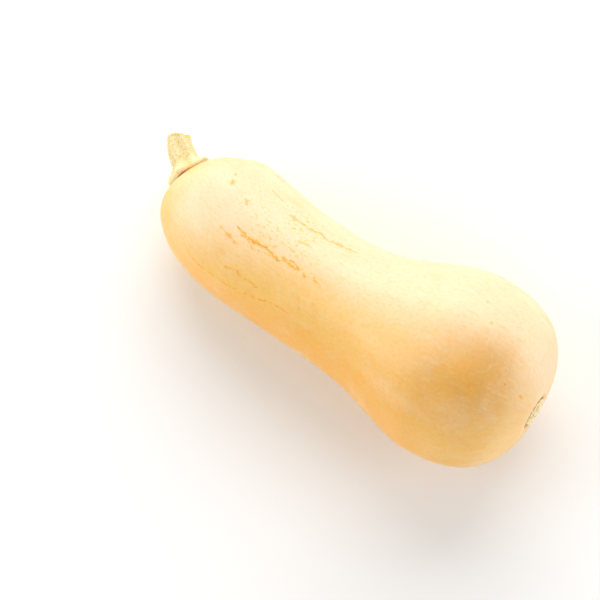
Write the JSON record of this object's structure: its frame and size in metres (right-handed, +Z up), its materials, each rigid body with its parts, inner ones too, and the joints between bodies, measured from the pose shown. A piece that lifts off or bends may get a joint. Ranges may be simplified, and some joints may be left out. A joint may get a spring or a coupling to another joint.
{
  "type": "butternut squash",
  "caption": "Bell-shaped winter squash lying on its side: a long bent neck, a round bulb with a corky blossom scar, and a short ridged woody stem.",
  "frame": {"origin": "on the surface that the squash lies on, below the middle of its outline in X and Y", "axes": "+X along the squash from the stem end to the blossom end, +Z up, +Y to the side that the stem leans to"},
  "size_m": [0.2708, 0.1118, 0.1112],
  "materials": {
    "rind": "smooth waxy tan-orange skin with a soft satin sheen, corky tan streaks and a greenish-tan scar at the blossom end",
    "cork": "dry matte pale beige woody stem with brown specks"
  },
  "bodies": {
    "root": {"fruit": "rind", "stem": "cork"}
  },
  "joints": []
}
